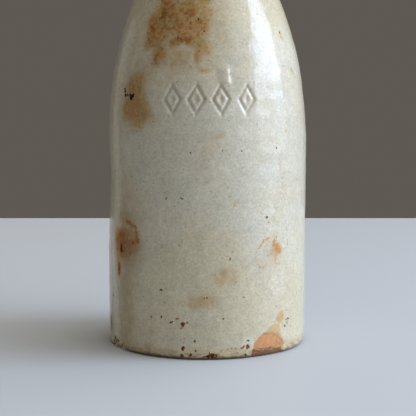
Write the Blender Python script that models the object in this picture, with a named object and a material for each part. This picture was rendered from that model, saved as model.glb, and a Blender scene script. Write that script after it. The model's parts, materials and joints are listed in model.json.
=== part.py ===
"""Salt-glazed stoneware bottle: a thrown body, a cork, and the wire bail that holds the cork down.

Metres, +Z up. The origin is the centre of the foot, on the surface that the bottle stands on, and the
front of the bottle faces -Y. The bail is stored thrown back, hanging behind the neck, so that the cork
is free to be drawn.
"""

import math

import bmesh
import bpy
from mathutils import Matrix, Vector
from mathutils.geometry import intersect_point_line

# Stoneware body: the outside, from the foot upwards
BODY_RADIUS = 0.0420
FOOT_ROUND = 0.0015
STRAIGHT_LENGTH = 0.0810
SHOULDER_LENGTH = 0.1287
SHOULDER_FULLNESS = 0.0660
NECK_EASE = 0.0560
NECK_RADIUS = 0.0150
NECK_LENGTH = 0.0153
COLLAR_RADIUS = 0.0190
COLLAR_LENGTH = 0.0230
COLLAR_ROUND = 0.0030
LIP_RADIUS = 0.0165
LIP_ROUND = 0.0022

# Stoneware body: the hollow
WALL = 0.0075
FLOOR = 0.0095
CAVITY_ROUND = 0.0090
BORE_RADIUS = 0.0100
MOUTH_ROUND = 0.0012

# Cork
CORK_DEPTH = 0.0240
CORK_TAPER = 0.0008
CORK_EDGE = 0.0010
CORK_HEAD = 0.0085
CORK_FLARE = 0.0009
CORK_DOME = 0.0018

# Neck wire, with an eye on each side and its ends twisted together behind the neck
NECK_WIRE_RADIUS = 0.0009
NECK_WIRE_GAP = 0.0009
EYE_RETURN = math.radians(60.0)
TWIST_LEAD_IN = math.radians(28.0)
TWIST_PITCH = 0.0082
TWIST_TURNS = 1.4

# Bail
BAIL_WIRE_RADIUS = 0.0012
BAIL_FOOT_BEND = 0.0026
BAIL_CROWN_BEND = 0.0085
BAIL_DIP = 0.0030

# Gap between pieces that touch on the real bottle
FIT = 0.0003

# Facets of the solids
TURN_STEPS = 64
CORK_STEPS = 40
CURVE_STEPS = 12
ROUND_STEPS = 4
BEND_STEPS = 6
EYE_STEPS = 18
RING_STEP = math.radians(6.0)
TWIST_STEP = math.radians(24.0)
WIRE_BEVEL_RESOLUTION = 2
SHARP_ANGLE = math.radians(40.0)
HANG_STEP = math.radians(1.0)
MERGE = 1e-6

# Heights that follow from the lengths above
SHOULDER_BASE = STRAIGHT_LENGTH
NECK_BASE = SHOULDER_BASE + SHOULDER_LENGTH
COLLAR_BASE = NECK_BASE + NECK_LENGTH
LIP_TOP = COLLAR_BASE + COLLAR_LENGTH
CORK_BOTTOM = LIP_TOP - CORK_DEPTH
CORK_EDGE_TOP = LIP_TOP + CORK_HEAD - CORK_DOME

# Sizes that follow from what each piece sits on
RING_RADIUS = NECK_RADIUS + FIT + NECK_WIRE_RADIUS
RING_HEIGHT = COLLAR_BASE - FIT - NECK_WIRE_RADIUS
EYE_RADIUS = BAIL_WIRE_RADIUS + FIT + NECK_WIRE_RADIUS
EYE_PITCH = 2.0 * NECK_WIRE_RADIUS + NECK_WIRE_GAP
PIVOT_HEIGHT = RING_HEIGHT - EYE_RADIUS
CORK_RADIUS = BORE_RADIUS - FIT


def bezier(start, start_handle, end_handle, end, steps):
    """Points along a cubic curve, both ends included."""
    corners = [Vector(p) for p in (start, start_handle, end_handle, end)]
    points = []
    for i in range(steps + 1):
        t = i / steps
        weights = ((1 - t) ** 3, 3 * (1 - t) ** 2 * t, 3 * (1 - t) * t**2, t**3)
        points.append(sum((w * p for w, p in zip(weights, corners)), Vector((0.0,) * len(start))))
    return points


def rounded_corner(start, corner, end, steps):
    """A quarter round from start to end, tangent to the two lines that meet in the corner."""
    start, corner, end = Vector(start), Vector(corner), Vector(end)
    points = []
    for i in range(steps + 1):
        angle = 0.5 * math.pi * i / steps
        points.append(
            corner + (start - corner) * (1 - math.sin(angle)) + (end - corner) * (1 - math.cos(angle))
        )
    return points


def without_repeats(points):
    """The same points, with those that repeat the one before left out."""
    kept = [Vector(points[0])]
    for point in points[1:]:
        if (Vector(point) - kept[-1]).length > MERGE:
            kept.append(Vector(point))
    return kept


def shoulder(low_radius, high_radius):
    """The S-curve from the straight wall into the neck, for the outside or the hollow."""
    return bezier(
        (low_radius, SHOULDER_BASE),
        (low_radius, SHOULDER_BASE + SHOULDER_FULLNESS),
        (high_radius, NECK_BASE - NECK_EASE),
        (high_radius, NECK_BASE),
        CURVE_STEPS,
    )


def outside_outline():
    """The outside of the body as (radius, height), from the centre of the foot to the lip's flat top."""
    foot = rounded_corner(
        (BODY_RADIUS - FOOT_ROUND, 0.0), (BODY_RADIUS, 0.0), (BODY_RADIUS, FOOT_ROUND), ROUND_STEPS
    )
    collar_edge = rounded_corner(
        (COLLAR_RADIUS - COLLAR_ROUND, COLLAR_BASE),
        (COLLAR_RADIUS, COLLAR_BASE),
        (COLLAR_RADIUS, COLLAR_BASE + COLLAR_ROUND),
        ROUND_STEPS,
    )
    taper_length = COLLAR_LENGTH - COLLAR_ROUND - LIP_ROUND
    collar_taper = bezier(
        (COLLAR_RADIUS, COLLAR_BASE + COLLAR_ROUND),
        (COLLAR_RADIUS, COLLAR_BASE + COLLAR_ROUND + taper_length / 3),
        (LIP_RADIUS, LIP_TOP - LIP_ROUND - taper_length / 3),
        (LIP_RADIUS, LIP_TOP - LIP_ROUND),
        ROUND_STEPS + 1,
    )
    lip_edge = rounded_corner(
        (LIP_RADIUS, LIP_TOP - LIP_ROUND),
        (LIP_RADIUS, LIP_TOP),
        (LIP_RADIUS - LIP_ROUND, LIP_TOP),
        ROUND_STEPS,
    )
    return without_repeats(
        [
            (0.0, 0.0),
            *foot,
            *shoulder(BODY_RADIUS, NECK_RADIUS),
            (NECK_RADIUS, COLLAR_BASE),
            *collar_edge,
            *collar_taper,
            *lip_edge,
        ]
    )


def hollow_outline():
    """The hollow of the body as (radius, height), from the mouth down to the centre of the floor."""
    inner_radius = BODY_RADIUS - WALL
    mouth_edge = rounded_corner(
        (BORE_RADIUS + MOUTH_ROUND, LIP_TOP),
        (BORE_RADIUS, LIP_TOP),
        (BORE_RADIUS, LIP_TOP - MOUTH_ROUND),
        ROUND_STEPS,
    )
    floor_edge = rounded_corner(
        (inner_radius, FLOOR + CAVITY_ROUND),
        (inner_radius, FLOOR),
        (inner_radius - CAVITY_ROUND, FLOOR),
        ROUND_STEPS,
    )
    return without_repeats(
        [*mouth_edge, *reversed(shoulder(inner_radius, BORE_RADIUS)), *floor_edge, (0.0, FLOOR)]
    )


def cork_outline():
    """The cork as (radius, height), from the centre of its lower end to the top of its dome."""
    low_radius = CORK_RADIUS - CORK_TAPER
    head_radius = CORK_RADIUS + CORK_FLARE
    dome_radius = (head_radius**2 + CORK_DOME**2) / (2 * CORK_DOME)
    dome_centre = CORK_EDGE_TOP + CORK_DOME - dome_radius
    dome = []
    for i in range(ROUND_STEPS + 1):
        radius = head_radius * (1 - i / ROUND_STEPS)
        dome.append((radius, dome_centre + math.sqrt(dome_radius**2 - radius**2)))
    return without_repeats(
        [
            (0.0, CORK_BOTTOM),
            (low_radius - CORK_EDGE, CORK_BOTTOM),
            (low_radius, CORK_BOTTOM + CORK_EDGE),
            (CORK_RADIUS, LIP_TOP - MOUTH_ROUND),
            (head_radius, LIP_TOP + MOUTH_ROUND),
            *dome,
        ]
    )


def ring_point(angle, outwards=0.0):
    """A point on the wire's ring round the neck, at this angle from +X towards +Y."""
    radius = RING_RADIUS + outwards
    return Vector((radius * math.cos(angle), radius * math.sin(angle), RING_HEIGHT))


def ring_arc(start, end):
    """The ring between two angles. After an eye the wire lies one pitch out, and eases back to the neck."""
    eye_angle = math.pi * math.floor(start / math.pi + MERGE)
    leaves_eye = abs(start - eye_angle) < MERGE
    steps = math.ceil((end - start) / RING_STEP)
    points = []
    for i in range(steps + 1):
        angle = start + (end - start) * i / steps
        share = min(1.0, (angle - eye_angle) / EYE_RETURN)
        eased = 0.5 * (1 + math.cos(math.pi * share)) if leaves_eye else 0.0
        points.append(ring_point(angle, EYE_PITCH * eased))
    return points


def eye_turn(side):
    """One full turn of wire round the bail's pin, on the side of +X or of -X, one pitch outwards."""
    points = []
    for i in range(EYE_STEPS + 1):
        turn = 2 * math.pi * i / EYE_STEPS
        x = RING_RADIUS + EYE_PITCH * i / EYE_STEPS
        y = EYE_RADIUS * math.sin(turn)
        z = PIVOT_HEIGHT + EYE_RADIUS * math.cos(turn)
        points.append(Vector((side * x, side * y, z)))
    return points


def twist_strand(phase):
    """One of the two twisted ends, from the ring down: a helix beside the neck, at the back."""
    radius = NECK_WIRE_RADIUS + 0.5 * NECK_WIRE_GAP
    centre_y = RING_RADIUS + radius
    steps = math.ceil(TWIST_TURNS * 2 * math.pi / TWIST_STEP)
    points = []
    for i in range(steps + 1):
        turn = TWIST_TURNS * 2 * math.pi * i / steps
        points.append(
            Vector(
                (
                    radius * math.cos(phase + turn),
                    centre_y + radius * math.sin(phase + turn),
                    RING_HEIGHT - TWIST_PITCH * turn / (2 * math.pi),
                )
            )
        )
    return points


def neck_wire_path():
    """The whole neck wire: a twisted end, the ring with an eye on each side, and the other twisted end."""
    back = 0.5 * math.pi
    inner_strand = twist_strand(-back)
    outer_strand = twist_strand(back)
    last_ring_angle = back - TWIST_LEAD_IN
    last_arc = ring_arc(0.0, last_ring_angle)
    lead_length = (outer_strand[0] - last_arc[-1]).length / 3
    along_ring = Vector((-math.sin(last_ring_angle), math.cos(last_ring_angle), 0.0))
    lead_in = bezier(
        last_arc[-1],
        last_arc[-1] + along_ring * lead_length,
        outer_strand[0] + Vector((lead_length, 0.0, 0.0)),
        outer_strand[0],
        BEND_STEPS,
    )
    return without_repeats(
        [
            *reversed(inner_strand),
            *ring_arc(back, math.pi),
            *eye_turn(-1.0),
            *ring_arc(math.pi, 2 * math.pi),
            *eye_turn(1.0),
            *last_arc,
            *lead_in,
            *outer_strand,
        ]
    )


def bail_reach():
    """How far the bail's crown lies from its pivot: just clear of the cork and lip as it swings over."""
    highest = [point for point in cork_outline() + outside_outline() if point[1] > COLLAR_BASE]
    furthest = max(math.hypot(radius, height - PIVOT_HEIGHT) for radius, height in highest)
    return furthest + FIT + BAIL_WIRE_RADIUS


def bail_leg():
    """How far each leg of the bail stands from the bottle's axis: clear of the collar and of the eyes."""
    past_collar = COLLAR_RADIUS + FIT + BAIL_WIRE_RADIUS
    past_eye = RING_RADIUS + EYE_PITCH + NECK_WIRE_RADIUS + FIT + BAIL_FOOT_BEND
    return max(past_collar, past_eye)


def bail_path():
    """The bail's wire, upright about its pivot: pin, leg, a crown that dips onto the cork, leg and pin."""
    leg, reach = bail_leg(), bail_reach()
    top = reach + BAIL_DIP
    foot = rounded_corner(
        (leg - BAIL_FOOT_BEND, 0.0, 0.0), (leg, 0.0, 0.0), (leg, 0.0, BAIL_FOOT_BEND), BEND_STEPS
    )
    crown_end = leg - BAIL_CROWN_BEND
    crown = rounded_corner(
        (leg, 0.0, top - BAIL_CROWN_BEND), (leg, 0.0, top), (crown_end, 0.0, top), BEND_STEPS
    )
    dip = []
    for i in range(BEND_STEPS + 1):
        share = i / BEND_STEPS
        rise = 0.5 * BAIL_DIP * (1 + math.cos(math.pi * share))
        dip.append((crown_end * (1 - share), 0.0, reach + rise))
    half = [(NECK_RADIUS + FIT, 0.0, 0.0), *foot, *crown, *dip]
    other_half = [(-x, y, z) for x, y, z in reversed(half)]
    return without_repeats(half + other_half)


def distance_to_outline(point, outline):
    """The least distance from a point (radius, height) to an outline's stretches."""
    nearest = []
    for start, end in zip(outline, outline[1:]):
        on_line, share = intersect_point_line(point, start, end)
        if share < 0.0:
            on_line = start
        elif share > 1.0:
            on_line = end
        nearest.append((Vector(point) - Vector(on_line).to_2d()).length)
    return min(nearest)


def hang_angle():
    """How far the bail swings back from upright before its crown would rest on the shoulder."""
    outline = outside_outline()
    above_feet = [point for point in bail_path() if point.z > BAIL_FOOT_BEND]
    angle = 0.5 * math.pi
    while angle < math.pi:
        turned_on = angle + HANG_STEP
        swing = Matrix.Rotation(-turned_on, 3, "X")
        swung = [swing @ point for point in above_feet]
        places = [(math.hypot(x, y), PIVOT_HEIGHT + z) for x, y, z in swung]
        if min(distance_to_outline(place, outline) for place in places) < BAIL_WIRE_RADIUS + FIT:
            break
        angle = turned_on
    return angle


def surface(name, colour, roughness, metallic=0.0):
    """A material with one colour."""
    material = bpy.data.materials.new(name)
    material.use_nodes = True
    shader = material.node_tree.nodes["Principled BSDF"]
    shader.inputs["Base Color"].default_value = (*colour, 1.0)
    shader.inputs["Roughness"].default_value = roughness
    shader.inputs["Metallic"].default_value = metallic
    return material


def added(name, data, material):
    """A new object in the scene, with its material."""
    data.materials.append(material)
    piece = bpy.data.objects.new(name, data)
    bpy.context.scene.collection.objects.link(piece)
    return piece


def turned(name, outline, steps, material):
    """A solid turned about the bottle's axis from an outline of (radius, height)."""
    shape = bmesh.new()
    rim = [shape.verts.new((radius, 0.0, height)) for radius, height in outline]
    edges = [shape.edges.new(pair) for pair in zip(rim, rim[1:])]
    bmesh.ops.spin(
        shape, geom=rim + edges, cent=(0, 0, 0), axis=(0, 0, 1), angle=2 * math.pi, steps=steps
    )
    bmesh.ops.remove_doubles(shape, verts=shape.verts[:], dist=MERGE)
    bmesh.ops.recalc_face_normals(shape, faces=shape.faces[:])
    mesh = bpy.data.meshes.new(name)
    shape.to_mesh(mesh)
    shape.free()
    mesh.shade_smooth()
    mesh.set_sharp_from_angle(angle=SHARP_ANGLE)
    return added(name, mesh, material)


def bent_wire(name, path, radius, material):
    """A round wire along a path, with flat ends."""
    curve = bpy.data.curves.new(name, "CURVE")
    curve.dimensions = "3D"
    curve.bevel_depth = radius
    curve.bevel_resolution = WIRE_BEVEL_RESOLUTION
    curve.use_fill_caps = True
    spline = curve.splines.new("POLY")
    spline.points.add(len(path) - 1)
    for spline_point, point in zip(spline.points, path):
        spline_point.co = (*point, 1.0)
    return added(name, curve, material)


def least_gap(path, radius):
    """The least gap that a wire leaves to itself, between points over half an eye's turn apart along it."""
    far_along = math.pi * EYE_RADIUS
    along = [0.0]
    for start, end in zip(path, path[1:]):
        along.append(along[-1] + (end - start).length)
    gaps = []
    for i, point in enumerate(path):
        for other, length in zip(path[i:], along[i:]):
            if length - along[i] > far_along:
                gaps.append((other - point).length - 2 * radius)
    return min(gaps)


def main():
    for old in list(bpy.data.objects):
        bpy.data.objects.remove(old)

    stoneware = surface("salt_glazed_stoneware", (0.52, 0.49, 0.39), 0.25)
    cork = surface("cork", (0.42, 0.26, 0.13), 0.85)
    iron = surface("dull_iron_wire", (0.16, 0.12, 0.09), 0.6, metallic=0.8)

    turned("stoneware_body", outside_outline() + hollow_outline(), TURN_STEPS, stoneware)
    turned("cork_stopper", cork_outline(), CORK_STEPS, cork)

    wire_path = neck_wire_path()
    bent_wire("neck_wire", wire_path, NECK_WIRE_RADIUS, iron)

    bail = bent_wire("wire_bail", bail_path(), BAIL_WIRE_RADIUS, iron)
    bail.location = (0.0, 0.0, PIVOT_HEIGHT)
    bail.rotation_euler = (-hang_angle(), 0.0, 0.0)

    print(f"least gap of the neck wire to itself: {1000 * least_gap(wire_path, NECK_WIRE_RADIUS):.2f} mm")
    print(f"bail pivot height: {PIVOT_HEIGHT:.5f} m")
    print(f"bail hangs {math.degrees(hang_angle()):.1f} degrees from upright")


main()
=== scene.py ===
"""Looks of a salt-glazed stoneware bottle with a cork and a wire bail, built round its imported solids.

Metres, +Z up, front towards -Y. A mark on the wall is placed by its angle from the front, in degrees
towards +X, and by its height above the foot, in millimetres. Finishes work in millimetres too.
"""

import json
import logging
import math
from dataclasses import dataclass, field
from enum import Enum
from typing import ClassVar, TypeVar

import bpy
import numpy as np
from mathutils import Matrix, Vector
from numpy.typing import ArrayLike


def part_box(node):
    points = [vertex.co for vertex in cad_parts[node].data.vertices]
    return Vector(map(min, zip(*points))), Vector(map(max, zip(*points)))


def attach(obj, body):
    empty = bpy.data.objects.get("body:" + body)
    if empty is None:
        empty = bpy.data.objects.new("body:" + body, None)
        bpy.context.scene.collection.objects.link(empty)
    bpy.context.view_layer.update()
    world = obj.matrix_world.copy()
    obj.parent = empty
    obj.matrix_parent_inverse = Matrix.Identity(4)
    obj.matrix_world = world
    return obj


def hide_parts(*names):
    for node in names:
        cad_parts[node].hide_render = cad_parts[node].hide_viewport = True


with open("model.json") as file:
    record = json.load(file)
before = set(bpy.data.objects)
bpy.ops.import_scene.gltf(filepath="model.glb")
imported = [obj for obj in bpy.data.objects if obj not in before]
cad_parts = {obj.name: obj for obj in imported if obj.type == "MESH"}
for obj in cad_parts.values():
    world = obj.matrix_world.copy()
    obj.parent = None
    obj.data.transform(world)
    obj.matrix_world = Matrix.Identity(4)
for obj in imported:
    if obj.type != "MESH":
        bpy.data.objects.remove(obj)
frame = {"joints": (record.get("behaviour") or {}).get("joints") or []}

log = logging.getLogger("stoneware_bottle")

Array = np.ndarray
Colour = tuple[float, float, float]
Corners = tuple[tuple[float, float], ...]
Rows = tuple[tuple[float, ...], ...]
Piece = bpy.types.Object
Tree = bpy.types.NodeTree
Socket = bpy.types.NodeSocket
Value = float | tuple[float, ...] | Socket
Mark = TypeVar("Mark")

MM = 0.001
TURN = 2.0 * math.pi
SAME_POINT = 1e-7
PICTURE_WIDTH = 416


class Body(Enum):
    """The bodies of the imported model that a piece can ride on."""

    BOTTLE = "bottle"
    CORK = "cork"
    BAIL = "bail"


class Slot(Enum):
    """The record's material slots."""

    STONEWARE = "salt_glazed_stoneware"
    CORK = "cork"
    WIRE = "iron_wire"


# Shapes: surfaces on grids of points


def smooth_step(value: Array, low: float, high: float) -> Array:
    """The curve 3t^2 - 2t^3 of the share t of the way from low to high, held at 0 and 1 outside."""
    share = np.clip((value - low) / (high - low), 0.0, 1.0)
    return share * share * (3.0 - 2.0 * share)


def between(value: Array, start: float, full: float, fade: float, end: float) -> Array:
    """A smooth step up from start to full, and down again from fade to end."""
    return smooth_step(value, start, full) * (1.0 - smooth_step(value, fade, end))


def bell(x: Array, y: Array) -> Array:
    """A soft spot: exp(-x^2 - y^2)."""
    return np.exp(-(x**2) - y**2)


def spaced(spans: Rows) -> Array:
    """Steps through spans, each given by its start, end and step."""
    return np.concatenate([np.arange(start, end, step) for start, end, step in spans])


def bezier(corners: ArrayLike, steps: int) -> Array:
    """A cubic curve: start, handles and end, weighed by (1-t)^3, 3(1-t)^2 t, 3(1-t) t^2 and t^3."""
    t = np.linspace(0.0, 1.0, steps + 1)[:, None]
    return np.hstack([(1 - t) ** 3, 3 * (1 - t) ** 2 * t, 3 * (1 - t) * t**2, t**3]) @ np.asarray(corners)


def quarter_round(corners: ArrayLike, steps: int) -> Array:
    """A quarter of an ellipse, tangent to the lines from its start and its end to a corner.

    Args:
        corners: The start, the corner and the end.
        steps: Stretches that the curve is cut into.

    Returns:
        steps + 1 points.
    """
    start, corner, end = np.array(corners, float)
    angle = np.linspace(0.0, 0.25 * TURN, steps + 1)[:, None]
    return corner + (start - corner) * (1 - np.sin(angle)) + (end - corner) * (1 - np.cos(angle))


def joined(*stretches: ArrayLike) -> Array:
    """Stretches of points one after the other, with points that repeat the one before left out."""
    points = np.concatenate([np.array(stretch, float) for stretch in stretches])
    return points[np.append(True, np.linalg.norm(np.diff(points, axis=0), axis=1) > SAME_POINT)]


def distances(path: Array) -> Array:
    """How far along a path each of its points lies."""
    return np.concatenate([[0.0], np.cumsum(np.linalg.norm(np.diff(path, axis=0), axis=1))])


def evenly(path: Array, count: int) -> Array:
    """The same path with a count of points at equal distances along it."""
    along = distances(path)
    return np.stack([np.interp(np.linspace(0.0, along[-1], count), along, axis) for axis in path.T], axis=1)


def turned(reach: Array, angle: Array, height: Array) -> Array:
    """Points (r sin a, -r cos a, z) of a form turned about the axis, with the angle a from the front."""
    return np.stack([reach * np.sin(angle), -reach * np.cos(angle), height], axis=-1)


def waves(arc: Array, height: Array, wavelength: float, count: int, seed: int) -> Array:
    """A smooth random relief: sines in random directions, with wavelengths near the one given.

    Args:
        arc: Distance round the piece, in the unit of wavelength.
        height: Distance up the piece, in the same unit.
        wavelength: The middle wavelength.
        count: How many sines are added.
        seed: Start of the random numbers.

    Returns:
        Heights of about unit size.
    """
    rng = np.random.default_rng(seed)
    turn = rng.uniform(0.0, TURN, count)
    pace = TURN / (wavelength * rng.uniform(0.7, 1.4, count))
    phase = rng.uniform(0.0, TURN, count)
    total = np.zeros(np.broadcast(arc, height).shape)
    for k in range(count):
        total += np.sin(pace[k] * (arc * math.cos(turn[k]) + height * math.sin(turn[k])) + phase[k])
    return total * math.sqrt(2.0 / count)


def outline_depth(corners: Array, across: Array, up: Array) -> Array:
    """How deep a place lies inside a closed outline: the distance to its nearest side, below 0 outside.

    A place is inside where a line from it towards growing across meets an odd number of sides.

    Args:
        corners: The outline's corners, as (across, up).
        across: Places to test.
        up: The same places' other coordinate.

    Returns:
        Depths.
    """
    nearest = np.full(across.shape, np.inf)
    inside = np.zeros(across.shape, bool)
    for (x, y), (next_x, next_y) in zip(corners, np.roll(corners, -1, axis=0)):
        side_x, side_y = next_x - x, next_y - y
        share = ((across - x) * side_x + (up - y) * side_y) / (side_x**2 + side_y**2)
        share = np.clip(share, 0.0, 1.0)
        nearest = np.minimum(nearest, np.hypot(across - x - share * side_x, up - y - share * side_y))
        if side_y != 0.0:
            inside ^= ((y > up) != (next_y > up)) & (across < x + (up - y) * side_x / side_y)
    return np.where(inside, nearest, -nearest)


def closed_surface(name: str, points: Array, first_pole: ArrayLike, last_pole: ArrayLike) -> Piece:
    """A mesh from a grid of points: quads between rows and columns, and a fan to a pole at each end.

    Args:
        name: Name of the piece.
        points: Rows by columns by 3. The columns close on themselves.
        first_pole: The point that closes the first row.
        last_pole: The point that closes the last row.

    Returns:
        The new piece, shaded smooth, at the origin.
    """
    rows, columns = points.shape[:2]
    here = np.arange(rows * columns).reshape(rows, columns)
    beside = np.roll(here, -1, axis=1)
    quads = np.stack([here[:-1], beside[:-1], beside[1:], here[1:]], axis=-1).reshape(-1, 4)
    first, last = here.size, here.size + 1
    first_fan = np.stack([np.full(columns, first), beside[0], here[0]], axis=-1)
    last_fan = np.stack([np.full(columns, last), here[-1], beside[-1]], axis=-1)
    corners = np.concatenate([points.reshape(-1, 3), [first_pole], [last_pole]])
    mesh = bpy.data.meshes.new(name)
    mesh.from_pydata(corners.tolist(), [], quads.tolist() + first_fan.tolist() + last_fan.tolist())
    mesh.shade_smooth()
    return placed(name, mesh)


def placed(name: str, data: bpy.types.ID) -> Piece:
    """A new object in the scene, at the origin.

    Args:
        name: Its name.
        data: The mesh, lamp or camera that it shows.

    Returns:
        The object.
    """
    thing = bpy.data.objects.new(name, data)
    bpy.context.scene.collection.objects.link(thing)
    return thing


def store(piece: Piece, name: str, values: Array) -> None:
    """Keeps one number for each point of a grid, and repeats its ends' means for the two poles.

    Args:
        piece: A piece made by closed_surface.
        name: Name that the finish reads the numbers by.
        values: Rows by columns.
    """
    flat = np.concatenate([values.reshape(-1), [values[0].mean()], [values[-1].mean()]])
    layer = piece.data.attributes.new(name, "FLOAT", "POINT")
    layer.data.foreach_set("value", flat.astype(np.float32))


def round_wire(
    name: str, path: Array, aside: Array, radius: float, sides: int, unevenness: float, seed: int
) -> Piece:
    """A round wire: a circle carried along a path, with rounded ends.

    Each circle lies in the plane across the path. Its first axis is the part of aside that is square to
    the path, and its second is their cross product. The radius falls to nothing at the ends as on a ball.

    Args:
        name: Name of the piece.
        path: Points along the wire's middle.
        aside: One vector for each point, never along the path.
        radius: Radius of the wire.
        sides: Points round the wire.
        unevenness: Share of the radius by which it swells and thins.
        seed: Start of the random numbers.

    Returns:
        The new piece.
    """
    tangent = np.gradient(path, axis=0)
    tangent /= np.linalg.norm(tangent, axis=1, keepdims=True)
    across = aside - (aside * tangent).sum(axis=1, keepdims=True) * tangent
    across /= np.linalg.norm(across, axis=1, keepdims=True)
    up = np.cross(tangent, across)
    along = distances(path)
    to_end = np.minimum(np.minimum(along, along[-1] - along) / radius, 1.0)
    ball = np.sqrt(np.clip(1.0 - (1.0 - to_end) ** 2, 0.0, 1.0))
    angle = np.linspace(0.0, TURN, sides, endpoint=False)
    swell = waves(along[:, None] / radius, angle[None, :], 9.0, 7, seed)
    reach = radius * ball[:, None] * (1.0 + unevenness * swell)
    circle = np.cos(angle)[:, None] * across[:, None] + np.sin(angle)[:, None] * up[:, None]
    points = path[:, None] + reach[:, :, None] * circle
    return closed_surface(name, points[1:-1], path[0], path[-1])


# Finishes: node trees


class NodeSheet:
    """Writes nodes into one node tree, so that a finish reads as a list of steps."""

    def __init__(self, tree: Tree) -> None:
        """Keeps the tree to write into."""
        self.tree = tree

    def add(self, kind: str, inputs: dict[str | int, Value], **settings: object) -> bpy.types.Node:
        """A new node.

        Args:
            kind: Blender's name for the node, without its first word.
            inputs: What each input holds, or the socket that feeds it.
            settings: The node's own properties.

        Returns:
            The node.
        """
        node = self.tree.nodes.new("ShaderNode" + kind)
        for name, setting in settings.items():
            setattr(node, name, setting)
        for name, value in inputs.items():
            self.feed(node.inputs[name], value)
        return node

    def feed(self, socket: Socket, value: Value) -> None:
        """Links an input to the socket that feeds it, or sets the input's own value.

        Args:
            socket: The input.
            value: A socket, or a number, colour or vector.
        """
        if isinstance(value, bpy.types.NodeSocket):
            self.tree.links.new(value, socket)
        elif socket.type == "RGBA":
            socket.default_value = (*value[:3], 1.0)
        else:
            socket.default_value = value

    def math(self, operation: str, first: Value, second: Value = 0.0) -> Socket:
        """The result of one sum."""
        return self.add("Math", {0: first, 1: second}, operation=operation).outputs[0]

    def times(self, first: Value, second: Value) -> Socket:
        """One number times another."""
        return self.math("MULTIPLY", first, second)

    def larger(self, first: Value, second: Value) -> Socket:
        """The larger of two numbers."""
        return self.math("MAXIMUM", first, second)

    def vector(self, operation: str, first: Value, second: Value) -> Socket:
        """The vector that one step of vector arithmetic gives."""
        return self.add("VectorMath", {0: first, 1: second}, operation=operation).outputs["Vector"]

    def measure(self, operation: str, first: Value, second: Value) -> Socket:
        """The number that one step of vector arithmetic gives."""
        return self.add("VectorMath", {0: first, 1: second}, operation=operation).outputs["Value"]

    def scaled(self, vector: Value, scale: Value) -> Socket:
        """A vector times a number."""
        return self.add("VectorMath", {0: vector, "Scale": scale}, operation="SCALE").outputs["Vector"]

    def ease(self, value: Value, low: Value, high: Value, start: float = 0.0, end: float = 1.0) -> Socket:
        """A smooth step from start, where the value is low, to end, where it is high."""
        inputs = {"Value": value, "From Min": low, "From Max": high, "To Min": start, "To Max": end}
        return self.add("MapRange", inputs, interpolation_type="SMOOTHSTEP", clamp=False).outputs[0]

    def blend(self, share: Value, under: Value, over: Value, mode: str = "MIX") -> Socket:
        """Two colours mixed by a share."""
        inputs = {0: share, 6: under, 7: over}
        return self.add("Mix", inputs, data_type="RGBA", blend_type=mode).outputs[2]

    def tint(self, share: Value, colour: Value, tint: Value) -> Socket:
        """A colour multiplied by a tint as far as a share."""
        return self.blend(share, colour, tint, "MULTIPLY")

    def noise(self, place: Socket, grain: Value, detail: float = 3.0) -> Socket:
        """Soft noise from 0 to 1, with grains of this many millimetres."""
        scale = self.math("DIVIDE", 1.0, grain)
        return self.add("TexNoise", {"Vector": place, "Scale": scale, "Detail": detail}).outputs[0]

    def attribute(self, name: str) -> Socket:
        """A number that the piece keeps for each of its points."""
        return self.add("Attribute", {}, attribute_name=name).outputs["Fac"]

    def group(self, tree: Tree, *inputs: Value) -> Socket:
        """The first output of a node group, with its inputs in order."""
        return self.add("Group", dict(enumerate(inputs)), node_tree=tree).outputs[0]


class EffectSheet(NodeSheet):
    """The sheet of a node group that several finishes share."""

    def __init__(self, name: str, places: tuple[str, ...], numbers: tuple[str, ...], output: str) -> None:
        """Starts the group.

        Args:
            name: Name of the group.
            places: Names of the inputs that are places, which come first.
            numbers: Names of the inputs that are numbers.
            output: Name of its one number out.
        """
        super().__init__(bpy.data.node_groups.new(name, "ShaderNodeTree"))
        for labels, kind in ((places, "NodeSocketVector"), (numbers, "NodeSocketFloat")):
            for label in labels:
                self.tree.interface.new_socket(name=label, in_out="INPUT", socket_type=kind)
        self.tree.interface.new_socket(name=output, in_out="OUTPUT", socket_type="NodeSocketFloat")
        start = self.tree.nodes.new("NodeGroupInput")
        self.given = [start.outputs[label] for label in (*places, *numbers)]
        self.result = self.tree.nodes.new("NodeGroupOutput").inputs[output]

    def done(self, value: Socket) -> Tree:
        """The group, with this value put out."""
        self.feed(self.result, value)
        return self.tree


def ragged_edge() -> Tree:
    """A mask with a torn edge: a field, shaken by noise, eased from 0 at Low to 1 at High.

    Returns:
        The group.
    """
    sheet = EffectSheet("ragged_edge", ("Place",), ("Field", "Grain", "Shake", "Low", "High"), "Mask")
    place, mark, grain, shake, low, high = sheet.given
    centred = sheet.math("SUBTRACT", sheet.noise(place, grain, detail=5.0), 0.5)
    shaken = sheet.math("ADD", mark, sheet.times(centred, shake))
    return sheet.done(sheet.ease(shaken, low, high))


def mottle() -> Tree:
    """A tone near 1 that drifts up and down by Amount, with clouds of Grain millimetres.

    Returns:
        The group.
    """
    sheet = EffectSheet("mottle", ("Place",), ("Grain", "Amount"), "Tone")
    place, grain, amount = sheet.given
    centred = sheet.math("SUBTRACT", sheet.noise(place, grain, detail=4.0), 0.5)
    drift = sheet.times(centred, 2.0)
    return sheet.done(sheet.math("ADD", 1.0, sheet.times(drift, amount)))


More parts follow.
